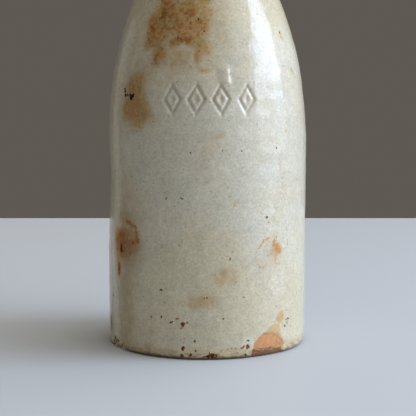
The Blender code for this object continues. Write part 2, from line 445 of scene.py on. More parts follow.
def pits() -> Tree:
    """Dots: in a Share of the cells, of Spacing millimetres, the part within Size of the cell's middle.

    Returns:
        The group.
    """
    sheet = EffectSheet("pits", ("Place",), ("Spacing", "Size", "Share"), "Mask")
    place, spacing, size, share = sheet.given
    cells = sheet.add("TexVoronoi", {"Vector": place, "Scale": sheet.math("DIVIDE", 1.0, spacing)})
    draw = sheet.add("SeparateColor", {"Color": cells.outputs["Color"]})
    radius = sheet.times(size, draw.outputs["Green"])
    inside = sheet.math("SUBTRACT", radius, cells.outputs["Distance"])
    chosen = sheet.math("LESS_THAN", draw.outputs["Red"], share)
    return sheet.done(sheet.times(sheet.ease(inside, 0.0, 0.05), chosen))


def stretch() -> Tree:
    """How far Wall is from the straight stretch between Start and End.

    The nearest point is Start + t (End - Start), with t the share of the stretch that Wall lies along it,
    held between 0 and 1.

    Returns:
        The group.
    """
    sheet = EffectSheet("stretch", ("Wall", "Start", "End"), (), "Away")
    wall, start, end = sheet.given
    reach = sheet.vector("SUBTRACT", end, start)
    offset = sheet.vector("SUBTRACT", wall, start)
    onto = sheet.measure("DOT_PRODUCT", offset, reach)
    whole = sheet.measure("DOT_PRODUCT", reach, reach)
    share = sheet.larger(sheet.math("DIVIDE", onto, whole), 0.0)
    share = sheet.math("MINIMUM", share, 1.0)
    return sheet.done(sheet.measure("DISTANCE", offset, sheet.scaled(reach, share)))


@dataclass(frozen=True)
class Effects:
    """The node groups that the finishes share, each built once."""

    ragged: Tree = field(default_factory=ragged_edge)
    mottle: Tree = field(default_factory=mottle)
    pits: Tree = field(default_factory=pits)
    stretch: Tree = field(default_factory=stretch)


class Finish(NodeSheet):
    """The material of one slot, with the shared effects and the place on the object in millimetres."""

    slot: ClassVar[Slot]

    def __init__(self, effects: Effects) -> None:
        """Starts the material.

        Args:
            effects: The node groups that the finishes share.
        """
        self.effects = effects
        self.material = bpy.data.materials.new(self.slot.value)
        self.material.use_nodes = True
        super().__init__(self.material.node_tree)
        self.place = self.scaled(self.add("TexCoord", {}).outputs["Object"], 1.0 / MM)

    def height(self) -> Socket:
        """Height above the foot."""
        return self.add("SeparateXYZ", {0: self.place}).outputs["Z"]

    def squeezed(self, share: float) -> Socket:
        """The place with its height times a share, for marks that are long up or round the bottle."""
        return self.vector("MULTIPLY", self.place, (1.0, 1.0, share))

    def clouds(self, grain: float, detail: float = 3.0) -> Socket:
        """Soft noise at the place."""
        return self.noise(self.place, grain, detail)

    def tone(self, grain: float, amount: float) -> Socket:
        """The mottle at the place."""
        return self.group(self.effects.mottle, self.place, grain, amount)

    def dots(self, spacing: float, size: float, share: float, strength: float) -> Socket:
        """The pits at the place, at a strength."""
        return self.times(self.group(self.effects.pits, self.place, spacing, size, share), strength)

    def ragged(
        self, mark: Value, grain: float, shake: float, low: float, high: float, place: Socket | None = None
    ) -> Socket:
        """A mark with a torn edge.

        Args:
            mark: The field that the mask follows.
            grain: Size of the tears in millimetres.
            shake: How far the noise moves the field.
            low: Field where the mask begins.
            high: Field where the mask is full.
            place: Where the noise is read, if not at the place itself.

        Returns:
            The mask.
        """
        spot = self.place if place is None else place
        return self.group(self.effects.ragged, spot, mark, grain, shake, low, high)

    def bump(self, height: Socket, depth: float) -> Socket:
        """The normal of a relief that is depth metres deep for each 1 of its height."""
        return self.add("Bump", {"Height": height, "Distance": depth, "Strength": 1.0}).outputs[0]

    def shaded(self, inputs: dict[str, Value]) -> bpy.types.Material:
        """Feeds the material's shader.

        Args:
            inputs: What each of the shader's inputs holds.

        Returns:
            The material.
        """
        shader = self.tree.nodes["Principled BSDF"]
        for name, value in inputs.items():
            self.feed(shader.inputs[name], value)
        return self.material


@dataclass(frozen=True)
class Blob:
    """A soft stain on the wall, strongest in its middle."""

    angle: float
    height: float
    across: float
    tall: float
    strength: float


@dataclass(frozen=True)
class Stroke:
    """A thin tide mark along points of the wall, each an angle and a height."""

    points: Corners
    width: float
    strength: float


@dataclass(frozen=True)
class Speck:
    """A small dot in the glaze."""

    angle: float
    height: float
    radius: float


def marks(kind: type[Mark], *rows: tuple) -> tuple[Mark, ...]:
    """One mark of a kind for each row of its values."""
    return tuple(kind(*row) for row in rows)


RUST = marks(
    Blob,
    (-37, 129.5, 4.6, 6.2, 0.8), (-39.3, 124.8, 2.4, 2.2, 0.42), (-38.8, 134, 2.6, 3, 0.5),
    (-27.5, 128, 5.5, 5, 0.48), (-31.5, 123.5, 4, 2.6, 0.38), (-5, 125.2, 6, 3.4, 0.42),
    (0.5, 134.5, 4, 5, 0.38), (-13, 131, 6, 4, 0.4), (-30.6, 137, 3, 6, 0.88),
    (-26, 137.5, 2.2, 2.6, 0.6), (-20, 137, 8, 7, 0.58), (-19, 130.3, 5.5, 3, 0.45),
    (-11, 137, 6, 5.5, 0.6), (-1.5, 142.8, 5, 3, 0.88), (-4, 130.5, 4.6, 5.4, 0.48),
    (-17, 126.3, 3.2, 2.2, 0.95), (-11.4, 125.9, 3.4, 2, 0.98), (-21.6, 124.4, 2, 1.4, 0.6),
    (-28.6, 120.3, 3.6, 3.2, 0.58), (-32, 119.2, 1.6, 2, 0.48), (-30.5, 116.9, 1.9, 1.4, 0.62),
    (-5.9, 119.4, 1.4, 3.2, 0.62), (-1, 122.4, 4.6, 3, 0.36), (2.8, 118.4, 1.6, 2.4, 0.2),
    (-1.4, 113.8, 2.6, 1.2, 0.55), (-22, 151, 13, 7, 0.8), (-34, 141.5, 5, 5, 0.45),
    (148, 62, 7, 10, 0.78), (160, 50, 5, 6, 0.62), (141, 70, 4, 5, 0.6), (-118, 118, 6, 7, 0.66),
    (-125, 110, 3, 4, 0.6), (0, 223, 400, 1.3, 0.34), (90, 219.5, 15, 3.6, 0.55),
    (-90, 219.5, 15, 3.6, 0.55), (180, 215, 13, 7, 0.55), (-180, 215, 13, 7, 0.55),
    (174, 203, 6, 6, 0.45),
)
RED = marks(
    Blob,
    (-57, 44, 5, 5, 0.62), (-50.5, 44.5, 4.6, 4.6, 0.46), (-45.5, 44, 3.4, 3.8, 0.36),
    (-62.6, 44, 3.4, 5.4, 0.62), (-55, 49.5, 5, 2.6, 0.5), (-52, 53.8, 3.4, 1.8, 0.42),
    (-42.5, 46.5, 2, 1.8, 0.45), (-53, 39, 4.5, 2.6, 0.46), (-56.4, 47.8, 3.6, 1.7, 0.85),
    (-56.4, 42.2, 2, 2.6, 0.8), (-59.2, 34, 1.6, 2.6, 1), (-60.2, 38.2, 1.6, 2.4, 0.45),
)
OCHRE = marks(
    Blob,
    (-44.5, 102, 6.4, 8.4, 0.9), (-43.5, 109.5, 4.6, 3.4, 0.5), (-40.5, 96.5, 4.6, 3.6, 0.6),
    (-51, 98.5, 3.6, 4, 0.55), (-47.5, 107.5, 4, 4, 0.5), (-31.5, 95, 3.2, 2.6, 0.35),
    (-35.5, 99, 3.6, 4, 0.42), (-52, 45.5, 9, 9, 0.56), (-45, 46, 5, 7, 0.3), (-41, 92.5, 5, 4, 0.34),
    (-20, 134, 14, 11, 0.36), (8.8, 32.3, 5.2, 3.6, 0.4), (10.2, 35, 2.4, 2, 0.25),
    (-5.4, 22.9, 8.5, 2.8, 0.36), (1.4, 23.6, 5, 2.4, 0.22), (-2, 26, 7, 6, 0.22),
    (6.9, 88.3, 2.6, 2, 0.4), (-18, 117, 18, 8, 0.36), (-12, 120, 8, 4, 0.2), (7.5, 134, 6, 13, 0.28),
    (-38, 114, 14, 9, 0.2), (-33, 62, 14, 10, 0.15), (-36, 9, 22, 8, 0.24), (-2, 74, 8, 8, 0.16),
    (-56, 40, 9, 30, 0.26), (-57.5, 10, 5.5, 16, 0.24), (-53, 70, 8, 60, 0.14), (17, 33, 9, 8, 0.14),
    (38, 40.5, 7.5, 7, 0.28), (120, 30, 12, 9, 0.45), (-150, 95, 13, 15, 0.48),
    (0, 248.3, 400, 1.2, 0.46), (0, 226.2, 400, 1.5, 0.32), (52, 236, 12, 4, 0.28),
    (-100, 240, 16, 4, 0.3),
)
ORANGE = marks(
    Blob,
    (40.2, 46.5, 1, 0.9, 0.95), (39.4, 45.1, 0.9, 0.8, 0.6), (42.7, 44.6, 1.2, 0.8, 0.62),
    (42, 43.2, 1.3, 1, 0.95), (44, 42.2, 1.5, 1.1, 0.85), (41.2, 40.8, 0.7, 1.4, 0.72),
    (41.5, 39.3, 0.7, 0.6, 0.55), (40.3, 36.7, 1.1, 0.6, 0.6), (43.4, 37.2, 0.9, 0.7, 0.62),
    (38.9, 49.9, 0.8, 0.6, 0.42), (42.6, 49.6, 0.8, 0.6, 0.36), (41.5, 43, 4.2, 4.4, 0.46),
    (43, 43, 2.3, 2.4, 0.45), (34.5, 41, 5, 4, 0.14), (33, 36.2, 1.4, 0.7, 0.4),
)
# Pale spots: a pale bruise of the glaze beside the flake, and painted highlights, bluish-white patches
# standing for the window's reflection on the lit right side.
PALE_AND_HIGHLIGHT = marks(
    Blob,
    (22.8, 5.9, 3.2, 3.6, 1), (38.5, 28.5, 7, 7, 0.46), (15, 24.5, 2, 3, 0.35), (47.5, 10, 3, 5, 0.5),
    (36.8, 58.5, 3.2, 5.5, 0.75), (38, 51.5, 2.6, 2.6, 0.55), (44, 29, 6, 7, 0.34),
)
# Painted sheen: lighter patches on the lit right side and by the upper left limb, standing for soft glossy
# reflections.
PAINTED_SHEEN = marks(
    Blob,
    (27, 86, 14, 20, 0.85), (37.5, 66, 4.5, 15, 0.7), (-69, 78, 5, 12, 0.9),
)
# Painted shade: a neutral darkening of the lower left, shadow side, and dark lines by the left limb
# standing for a dark reflection there.
PAINTED_SHADE = marks(
    Blob,
    (-51, 42, 6.5, 20, 0.6), (-50.5, 14, 6, 16, 0.42), (-41, 52, 6, 9, 0.32), (-53, 28, 6, 6, 0.35),
    (-41.5, 40, 6, 7, 0.45), (-73.5, 9, 4.2, 7, 0.95), (-70.5, 19.5, 1.6, 6, 0.6),
    (-15, 12, 13, 5, 0.25),
)
BROWN_MARKS = marks(
    Stroke,
    (((-50.5, 53.5), (-46.2, 52.8), (-43.7, 52), (-42.4, 50.3), (-42.1, 48.7), (-41.2, 47.5),
        (-40.6, 46.3)), 1.15, 1),
    (((-59.4, 35.4), (-59.1, 33.6), (-59.2, 31.6)), 1.55, 1),
)
ORANGE_MARKS = marks(
    Stroke,
    (((29.4, 44), (31.4, 45.5), (32.4, 46.9), (34.5, 47.4), (36.7, 47.7)), 0.55, 1),
    (((28.6, 43.4), (27.4, 41.3), (27.9, 38.2), (30.1, 36.5), (33.4, 35.7)), 0.45, 0.5),
    (((50.8, 45.8), (50.9, 43.9), (48.7, 42.6)), 0.55, 0.52),
    (((56.1, 129.4), (56.9, 128.1), (57.3, 126.4)), 0.8, 1),
    (((60.4, 114.7), (61.6, 114.3), (62.8, 113.2)), 0.75, 0.9),
    (((65, 112.4), (65.7, 110.8)), 0.6, 0.7),
    (((48.9, 90.4), (49.3, 89.9)), 0.7, 0.9),
    (((44.3, 76.6), (44.2, 74.4)), 0.6, 0.45),
    (((14.6, 62.3), (14.7, 61.5)), 0.7, 0.75),
)
FLAKE: Corners = (
    (24.4, -3), (24.9, 1.2), (26.4, 5), (29.2, 7.8), (32.8, 9.5), (38.2, 9.2), (43.6, 7.9), (46.6, 5.8),
    (49, 3.6), (46, 2), (47.8, 0.5), (47.8, -3),
)
SKINS: tuple[Corners, ...] = (
    ((33, 8.6), (35.2, 10.4), (38.7, 12.5), (44.2, 12.3), (45.2, 9.2), (43.6, 7.2)),
    ((46.3, 18.1), (43.8, 16.9), (41.6, 14.6), (42.6, 13.1), (46.4, 12), (48.2, 15.2)),
)
CHIPS: tuple[Corners, ...] = (
    (
        (-72, -3), (-70.2, 3.6), (-66.5, 4.3), (-62.5, 3.9), (-58.8, 3.9), (-55.2, 3.3), (-52.4, 2.2),
        (-50.2, -3),
    ),
    ((-128, -3), (-125, 1.8), (-118, 2.4), (-113, 1.2), (-112, -3)),
)
# Painted reflection: a pale bluish strip by the left limb, above the foot, standing for the lit floor seen
# in the glaze.
REFLECTION_STRIP: Corners = (
    (-65.3, 2), (-65.8, 12), (-66.8, 22), (-68, 32), (-68.6, 46), (-66.8, 46), (-64.6, 32), (-60.6, 22),
    (-58.2, 12), (-57.4, 2),
)
IRON_SPECKS = marks(
    Speck,
    (-8.5, 82.1, 0.36), (-13.5, 64.4, 0.52), (-22, 64.2, 0.32), (8, 82.8, 0.34), (19, 82.7, 0.36),
    (41.5, 83.3, 0.18), (-25.5, 27.5, 0.55), (12.4, 40.4, 0.34), (15.8, 31.1, 0.32), (0, 25.2, 0.54),
    (-1.9, 25.2, 0.35), (-31.6, 16.2, 0.5), (-25.5, 16.8, 0.4), (8.6, 16.5, 0.35), (20.4, 24.9, 0.3),
    (-17.1, 60.8, 0.35), (-67.9, 21.5, 0.45), (-54.6, 106.7, 0.75), (-53.9, 105.8, 0.55),
    (-53.5, 104.5, 0.75), (-51.2, 104.4, 0.55), (-48.6, 104.2, 0.9), (-47.4, 103.7, 1.15),
    (-46.3, 104.2, 0.8), (-47.6, 102.9, 0.7), (-52.5, 44.5, 0.45), (-19.9, 14.8, 0.5), (22.8, 7.2, 0.48),
    (-54.6, 1.1, 0.8), (-2.1, 129.3, 0.4), (-5.4, 133.8, 0.45), (105, 70, 0.5), (118, 95, 0.4),
    (132, 40, 0.55), (145, 22, 0.5), (158, 88, 0.45), (172, 66, 0.4), (-172, 30, 0.6), (-160, 75, 0.45),
    (-150, 55, 0.5), (-138, 20, 0.5), (-125, 85, 0.45), (-112, 60, 0.5), (-100, 35, 0.45),
    (126, 128, 0.5), (-140, 136, 0.45), (84, 52, 0.5),
)
RUST_SPECKS = marks(
    Speck,
    (-13.1, 14.2, 1), (-16, 16.4, 0.5), (-10.7, 15, 0.5), (-14, 12.7, 0.4), (-6.7, 7.6, 0.6),
    (-13, 4.7, 1), (-13.8, 1.8, 0.68), (-9.2, 2, 0.7), (-6, 3.8, 0.45), (1.2, 2.1, 0.85),
    (2.9, 2.4, 0.75), (4.4, 2, 0.5), (-1.4, 1.8, 0.45), (22.9, 5, 0.7), (22.2, 4, 0.55),
    (19.5, 4.5, 0.55), (20.5, 5.2, 0.5), (16, 4.3, 0.35), (13.4, 4.5, 0.3), (11, 4.4, 0.28),
    (21.5, 1.4, 0.6), (8, 3.6, 0.3), (56.3, 129.2, 0.4), (34.6, 56, 0.55), (36, 54.2, 0.45),
    (49.2, 11, 0.6), (51.4, 11.8, 0.5), (52.2, 13.5, 0.45), (50.6, 13.2, 0.35), (-45.5, 44.8, 0.5),
    (-9, 45.5, 0.3), (-58.9, 33.9, 0.5), (-58.8, 33, 0.62), (112, 5, 0.7), (115.5, 3.4, 0.9),
    (150, 6.5, 0.6), (-155, 3.6, 0.9), (-152, 5.4, 0.5), (-105, 8, 0.6), (96, 20, 0.6), (168, 48, 0.55),
)
CORE_SPECKS = marks(
    Speck,
    (-56.1, 43.7, 0.6), (-56.2, 42.9, 0.85), (-56.3, 42.1, 0.9), (-56.4, 41.2, 0.7), (-13, 4.6, 0.55),
    (0.6, 1.5, 0.65), (2.6, 1.5, 0.6), (4, 1.2, 0.4),
)


class SaltGlaze(Finish):
    """Salt-glazed stoneware: warm grey, pin-pricked and glossy, stained by rust, with bare orange clay.

    A tint multiplies the glaze under it, and a colour takes its place.
    """

    slot = Slot.STONEWARE
    grey: Colour = (0.500, 0.484, 0.396)
    cream: Colour = (0.480, 0.438, 0.310)
    pink: Colour = (0.490, 0.428, 0.322)
    prick_tint: Colour = (0.55, 0.50, 0.42)
    wash_olive_tint: Colour = (0.75, 0.58, 0.30)
    wash_orange_tint: Colour = (0.84, 0.54, 0.28)
    freckle_tint: Colour = (0.74, 0.43, 0.20)
    deep_tint: Colour = (0.62, 0.42, 0.22)
    speckle_tint: Colour = (0.52, 0.34, 0.18)
    fleck_tint: Colour = (0.62, 0.38, 0.18)
    ochre_tint: Colour = (0.74, 0.48, 0.20)
    orange_tint: Colour = (0.92, 0.50, 0.13)
    tide_tint: Colour = (0.84, 0.42, 0.03)
    # Lightens the pale spots: a bluish tint above 1 for the bruise and the painted highlights.
    pale_and_highlight_tint: Colour = (1.15, 1.19, 1.32)
    # Lightens the painted sheen.
    painted_sheen_tint: Colour = (1.09, 1.09, 1.09)
    # Darkens the painted shade.
    painted_shade_tint: Colour = (0.70, 0.66, 0.52)
    # Lightens the painted reflection strip.
    reflection_strip_tint: Colour = (1.14, 1.26, 1.40)
    red_tint: Colour = (0.96, 0.60, 0.12)
    red_deep_tint: Colour = (0.80, 0.44, 0.30)
    foot_tint: Colour = (0.92, 0.84, 0.68)
    smear_tint: Colour = (0.60, 0.48, 0.32)
    # Darkens the foot's rounded bottom edge: dirt there, and painted contact shade where the foot meets the
    # floor.
    dirt_and_contact_shade_tint: Colour = (0.30, 0.25, 0.17)
    rust: Colour = (0.370, 0.160, 0.030)
    rust_dark: Colour = (0.130, 0.055, 0.025)
    iron: Colour = (0.040, 0.028, 0.016)
    clay: Colour = (0.490, 0.245, 0.105)
    clay_worn: Colour = (0.120, 0.050, 0.022)
    # Pale broken clay of the chip, made brighter as painted highlight on crumbs that catch the lamp.
    crumb_and_highlight: Colour = (0.660, 0.570, 0.410)
    tan: Colour = (0.485, 0.315, 0.135)
    leaf: Colour = (0.470, 0.285, 0.110)
    buff: Colour = (0.360, 0.285, 0.190)
    slip: Colour = (0.075, 0.045, 0.025)
    matt_roughness: float = 0.82
    speck_metal: float = 0.9
    coat: float = 0.6
    coat_roughness: float = 0.5

    def __init__(self, effects: Effects, wall_radius: float) -> None:
        """Starts the glaze, and works out the place on the unrolled wall in millimetres.

        The place is shaken by noise so that no dot is quite round.

        Args:
            effects: The node groups that the finishes share.
            wall_radius: Radius of the bottle in metres.
        """
        super().__init__(effects)
        self.wall_radius = wall_radius / MM
        axes = self.add("SeparateXYZ", {0: self.place}).outputs
        turn = self.math("ARCTAN2", axes["X"], self.times(axes["Y"], -1.0))
        flat = self.add("CombineXYZ", {0: self.times(turn, self.wall_radius), 1: axes["Z"]}).outputs[0]
        shake = self.add("TexNoise", {"Vector": self.place, "Scale": 0.9, "Detail": 3.0}).outputs["Color"]
        shake = self.vector("SUBTRACT", shake, (0.5, 0.5, 0.5))
        self.wall = self.vector("ADD", flat, self.vector("MULTIPLY", shake, (2.6, 2.6, 0.0)))

    def wall_spot(self, angle: float, height: float) -> tuple[float, float, float]:
        """An angle and a height as a place on the unrolled wall, in millimetres."""
        return (math.radians(angle) * self.wall_radius, height, 0.0)

    def speck_mask(self, specks: tuple[Speck, ...]) -> Socket:
        """Dots where the wall is within a speck's radius of its middle.

        Args:
            specks: The dots.

        Returns:
            The mask.
        """
        mask: Value = 0.0
        for speck in specks:
            away = self.measure("DISTANCE", self.wall, self.wall_spot(speck.angle, speck.height))
            mask = self.larger(mask, self.ease(away, 0.75 * speck.radius, 1.15 * speck.radius, 1.0, 0.0))
        return mask

    def stroke_mask(self, strokes: tuple[Stroke, ...]) -> Socket:
        """Thin lines where the wall is within a stroke's half width of one of its stretches.

        Args:
            strokes: The lines.

        Returns:
            The mask.
        """
        mask: Value = 0.0
        for stroke in strokes:
            spots = [self.wall_spot(*point) for point in stroke.points]
            for start, end in zip(spots, spots[1:]):
                away = self.group(self.effects.stretch, self.wall, start, end)
                line = self.ease(away, 0.2 * stroke.width, 1.3 * stroke.width, stroke.strength, 0.0)
                mask = self.larger(mask, line)
        return mask

    def stain(self, colour: Socket, tint: Value, mark: Socket, strength: float, *edge: float) -> Socket:
        """A colour multiplied by a tint inside a mark, whose edge is torn as in ragged."""
        return self.tint(self.times(self.ragged(mark, *edge), strength), colour, tint)

    def ground(self) -> Socket:
        """The glaze before any mark: three drifting tones, fine grain and pin-pricks.

        Returns:
            The colour.
        """
        off_belt = self.math("ABSOLUTE", self.math("SUBTRACT", self.height(), 86.0))
        warmer = self.ease(off_belt, 12.0, 62.0, -0.13, 0.13)
        drift = self.ease(self.math("ADD", self.clouds(26.0), warmer), 0.34, 0.66)
        colour = self.blend(drift, self.grey, self.cream)
        beside = self.vector("ADD", self.place, (70.0, 0.0, 0.0))
        blush = self.ease(self.noise(beside, 20.0), 0.48, 0.72)
        colour = self.blend(self.times(blush, 0.55), colour, self.pink)
        for grain, amount in ((8.0, 0.12), (2.4, 0.16), (0.85, 0.34)):
            colour = self.tint(1.0, colour, self.tone(grain, amount))
        for spacing, size, share, strength in ((2.4, 0.20, 0.8, 0.75), (1.2, 0.26, 0.6, 0.40)):
            colour = self.tint(self.dots(spacing, size, share, strength), colour, self.prick_tint)
        return colour

    def stains(self, colour: Socket) -> Socket:
        """The marks in the glaze, one over the other.

        They are a pale bruise with painted highlights, painted shade on the lower left and by the left
        limb, ochre blushes, red rust, painted sheen, the painted reflection strip by the left limb, the
        rust's wash with its freckles, clean bits and flecks, orange blots, and tide marks broken by noise.

        Args:
            colour: The glaze so far.

        Returns:
            The colour.
        """
        for tint, name, strength, *edge in (
            # A pale bruise and painted highlights.
            (self.pale_and_highlight_tint, "pale", 1.0, 2.0, 1.0, 0.30, 0.80),
            # Painted shade.
            (self.painted_shade_tint, "painted_shade", 1.0, 5.0, 0.4, 0.05, 0.85),
            (self.ochre_tint, "ochre", 0.88, 3.4, 0.60, 0.06, 0.80),
            (self.freckle_tint, "ochre", 0.40, 1.5, 1.7, 0.50, 0.95),
            (self.red_tint, "red", 1.0, 2.2, 0.7, 0.05, 0.80),
            (self.red_deep_tint, "red", 0.9, 1.3, 1.1, 0.72, 1.08),
        ):
            colour = self.stain(colour, tint, self.attribute(name), strength, *edge)
        # Painted sheen, then the painted reflection strip by the left limb.
        colour = self.tint(self.attribute("painted_sheen"), colour, self.painted_sheen_tint)
        reflection_strip = self.ease(self.attribute("reflection_strip"), -0.25, 0.25)
        colour = self.tint(reflection_strip, colour, self.reflection_strip_tint)
        rust = self.attribute("rust")
        hue = self.ease(self.clouds(9.0), 0.40, 0.60)
        wash_tint = self.blend(hue, self.wash_olive_tint, self.wash_orange_tint)
        for tint, strength, *edge in (
            (wash_tint, 1.0, 4.0, 0.9, 0.06, 0.72),
            (self.freckle_tint, 0.80, 1.6, 1.9, 0.55, 1.00),
            (self.deep_tint, 0.90, 2.4, 1.1, 0.82, 1.10),
            (self.speckle_tint, 0.80, 0.6, 2.6, 0.92, 1.25),
        ):
            colour = self.stain(colour, tint, rust, strength, *edge)
        bits = self.dots(1.5, 0.26, 0.5, 0.55)
        bits = self.times(bits, self.ragged(rust, 2.0, 0.6, 0.20, 0.60))
        colour = self.blend(bits, colour, self.cream)
        flecks = self.dots(1.7, 0.34, 0.6, 0.7)
        flecks = self.times(flecks, self.ragged(rust, 3.0, 0.8, 0.08, 0.42))
        colour = self.tint(flecks, colour, self.fleck_tint)
        blot = self.ragged(self.attribute("orange"), 0.8, 1.3, 0.16, 0.92)
        colour = self.tint(blot, colour, self.orange_tint)
        broken = self.ease(self.clouds(1.8), 0.20, 0.46)
        broken = self.times(broken, self.ease(self.clouds(0.7), 0.34, 0.56, 0.40, 1.0))
        for strokes, tint in ((BROWN_MARKS, self.tide_tint), (ORANGE_MARKS, self.orange_tint)):
            colour = self.tint(self.times(self.stroke_mask(strokes), broken), colour, tint)
        return colour

    def bare(self, colour: Socket, clay: Socket, chip: Socket) -> Socket:
        """The dirty foot with painted contact shade on its bottom edge, and where the glaze is off: tan
        skins, orange clay, chips with crumbs brightened as painted highlight, and the underside.

        Args:
            colour: The glaze with its marks.
            clay: Mask of the bare clay.
            chip: Mask of the broken foot.

        Returns:
            The colour.
        """
        height = self.height()
        low = self.times(height, -1.0)
        colour = self.stain(colour, self.foot_tint, low, 0.7, 7.0, 4.0, -5.6, -2.6)
        flat = self.squeezed(3.2)
        colour = self.tint(self.ragged(low, 3.0, 9.0, -3.5, -0.2, flat), colour, self.smear_tint)
        # Dirt and painted contact shade on the foot's rounded bottom edge.
        colour = self.tint(self.ragged(low, 1.8, 1.8, -1.7, -0.5), colour, self.dirt_and_contact_shade_tint)
        tan = self.ragged(self.attribute("tan"), 1.6, 1.8, -0.30, 0.40)
        tan = self.times(tan, self.ease(self.clouds(0.9), 0.26, 0.56, 0.55, 1.0))
        grain = self.tone(1.3, 0.30)
        skin = self.blend(self.ease(height, 11.5, 14.0), self.tan, self.leaf)
        colour = self.blend(tan, colour, self.tint(1.0, skin, grain))
        body = self.tint(1.0, self.clay, grain)
        worn = self.ragged(low, 2.4, 6.5, -4.2, -2.0, flat)
        body = self.blend(self.times(worn, 0.9), body, self.clay_worn)
        colour = self.blend(clay, colour, body)
        holes = self.ease(self.clouds(1.5), 0.50, 0.60)
        # The chip's bright crumbs are partly painted highlight.
        colour = self.blend(chip, colour, self.blend(holes, self.crumb_and_highlight, self.clay_worn))
        under = self.tint(1.0, self.buff, grain)
        colour = self.blend(self.attribute("underside"), colour, under)
        return self.blend(self.attribute("hollow"), colour, self.slip)

    def relief(self, matt: Socket) -> Socket:
        """The orange-peel skin of salt glaze, with rougher clay where it is bare.

        Args:
            matt: Mask of what has no glaze.

        Returns:
            The normal.
        """
        hung = self.squeezed(0.5)
        peel = self.times(self.clouds(1.1), 0.045)
        swell = self.times(self.noise(hung, 6.0, 2.0), 0.24)
        swell = self.math("ADD", swell, self.times(self.clouds(2.6, 2.0), 0.08))
        grit = self.times(self.times(self.clouds(0.5), 0.12), matt)
        return self.bump(self.math("ADD", self.math("ADD", peel, swell), grit), MM)

    def build(self) -> bpy.types.Material:
        """The finish: glaze, stains and specks, then bare clay, and gloss where none of them is dull.

        Returns:
            The material.
        """
        clay = self.ragged(self.attribute("clay"), 2.2, 1.6, -0.12, 0.12)
        chip = self.ragged(self.attribute("chip"), 1.6, 1.6, -0.12, 0.12)
        colour = self.stains(self.ground())
        scab = self.blend(self.ease(self.clouds(1.1), 0.38, 0.58), self.rust_dark, self.rust)
        masks = []
        for specks, look in ((RUST_SPECKS, scab), (CORE_SPECKS, self.rust_dark), (IRON_SPECKS, self.iron)):
            masks.append(self.speck_mask(specks))
            colour = self.blend(masks[-1], colour, look)
        scabs, cores, irons = masks
        speck = self.larger(scabs, self.larger(irons, cores))
        colour = self.bare(colour, clay, chip)

        matt = self.larger(self.larger(clay, chip), self.attribute("underside"))
        gloss = self.ease(self.clouds(6.0), 0.3, 0.7, 0.05, 0.11)
        rusty = self.ragged(self.attribute("red"), 2.2, 0.7, 0.30, 1.00)
        rusty = self.larger(rusty, self.stroke_mask(BROWN_MARKS))
        dull = self.larger(matt, self.larger(speck, self.times(rusty, 0.9)))
        # The painted shade also dulls the gloss where it lies.
        dull = self.larger(dull, self.ease(self.attribute("painted_shade"), 0.60, 0.88, 0.0, 0.8))
        return self.shaded({
            "Base Color": colour,
            "Roughness": self.add("Mix", {0: dull, 2: gloss, 3: self.matt_roughness}).outputs[0],
            "Normal": self.relief(matt),
            "Metallic": self.times(speck, self.speck_metal),
            "Coat Weight": self.times(self.math("SUBTRACT", 1.0, dull), self.coat),
            "Coat Roughness": self.coat_roughness,
        })


class NaturalCork(Finish):
    """Cork bark: tan, in grains, with dark pores."""

    slot = Slot.CORK
    pale: Colour = (0.420, 0.255, 0.130)
    dark: Colour = (0.250, 0.135, 0.062)
    pore: Colour = (0.060, 0.032, 0.016)
    roughness: float = 0.85

    def build(self) -> bpy.types.Material:
        """The finish: grains of two tans, then pores.

        Returns:
            The material.
        """
        grain = self.ease(self.clouds(2.4, 5.0), 0.35, 0.70)
        colour = self.blend(grain, self.pale, self.dark)
        colour = self.tint(1.0, colour, self.tone(0.6, 0.3))
        pores = self.group(self.effects.pits, self.squeezed(0.45), 3.0, 0.30, 0.55)
        pores = self.larger(pores, self.attribute("pore"))
        colour = self.blend(self.times(pores, 0.85), colour, self.pore)
        height = self.math("SUBTRACT", self.clouds(0.8, 4.0), pores)
        normal = self.bump(height, 0.15 * MM)
        return self.shaded({"Base Color": colour, "Roughness": self.roughness, "Normal": normal})


class RustedWire(Finish):
    """Old iron wire: dull grey metal under patches of brown and orange rust."""

    slot = Slot.WIRE
    metal: Colour = (0.190, 0.175, 0.160)
    brown: Colour = (0.110, 0.050, 0.024)
    orange: Colour = (0.290, 0.115, 0.035)

    def build(self) -> bpy.types.Material:
        """The finish: metal, less shiny and less smooth under its rust.

        Returns:
            The material.
        """
        rust = self.ragged(self.clouds(4.5, 4.0), 0.7, 0.5, 0.40, 0.52)
        scale = self.ease(self.clouds(1.1, 4.0), 0.42, 0.68)
        colour = self.blend(rust, self.metal, self.blend(scale, self.brown, self.orange))
        colour = self.tint(1.0, colour, self.tone(0.5, 0.3))
        flakes = self.times(self.clouds(0.45, 4.0), rust)
        normal = self.bump(flakes, 0.12 * MM)
        return self.shaded({
            "Base Color": colour,
            "Metallic": self.math("SUBTRACT", 0.9, self.times(rust, 0.85)),
            "Roughness": self.math("ADD", 0.42, self.times(rust, 0.4)),
            "Normal": normal,
        })


# Pieces


@dataclass(frozen=True)
class Closure:
    """Sizes that the neck, the cork and the wires share, in metres."""

    neck_radius: float = 0.0150
    collar_base: float = 0.2250
    bore_radius: float = 0.0100
    mouth_round: float = 0.0012
    wire_radius: float = 0.0009
    bail_radius: float = 0.0012
    wire_gap: float = 0.0009
    fit: float = 0.0003

    @property
    def ring_radius(self) -> float:
        """Middle of the wire that lies against the neck."""
        return self.neck_radius + self.fit + self.wire_radius

    @property
    def ring_height(self) -> float:
        """Middle of the wire that lies under the collar."""
        return self.collar_base - self.fit - self.wire_radius

    @property
    def eye_radius(self) -> float:
        """Middle of the wire that turns round the bail's pin."""
        return self.bail_radius + self.fit + self.wire_radius

    @property
    def eye_pitch(self) -> float:
        """How far an eye's turn moves outwards."""
        return 2.0 * self.wire_radius + self.wire_gap


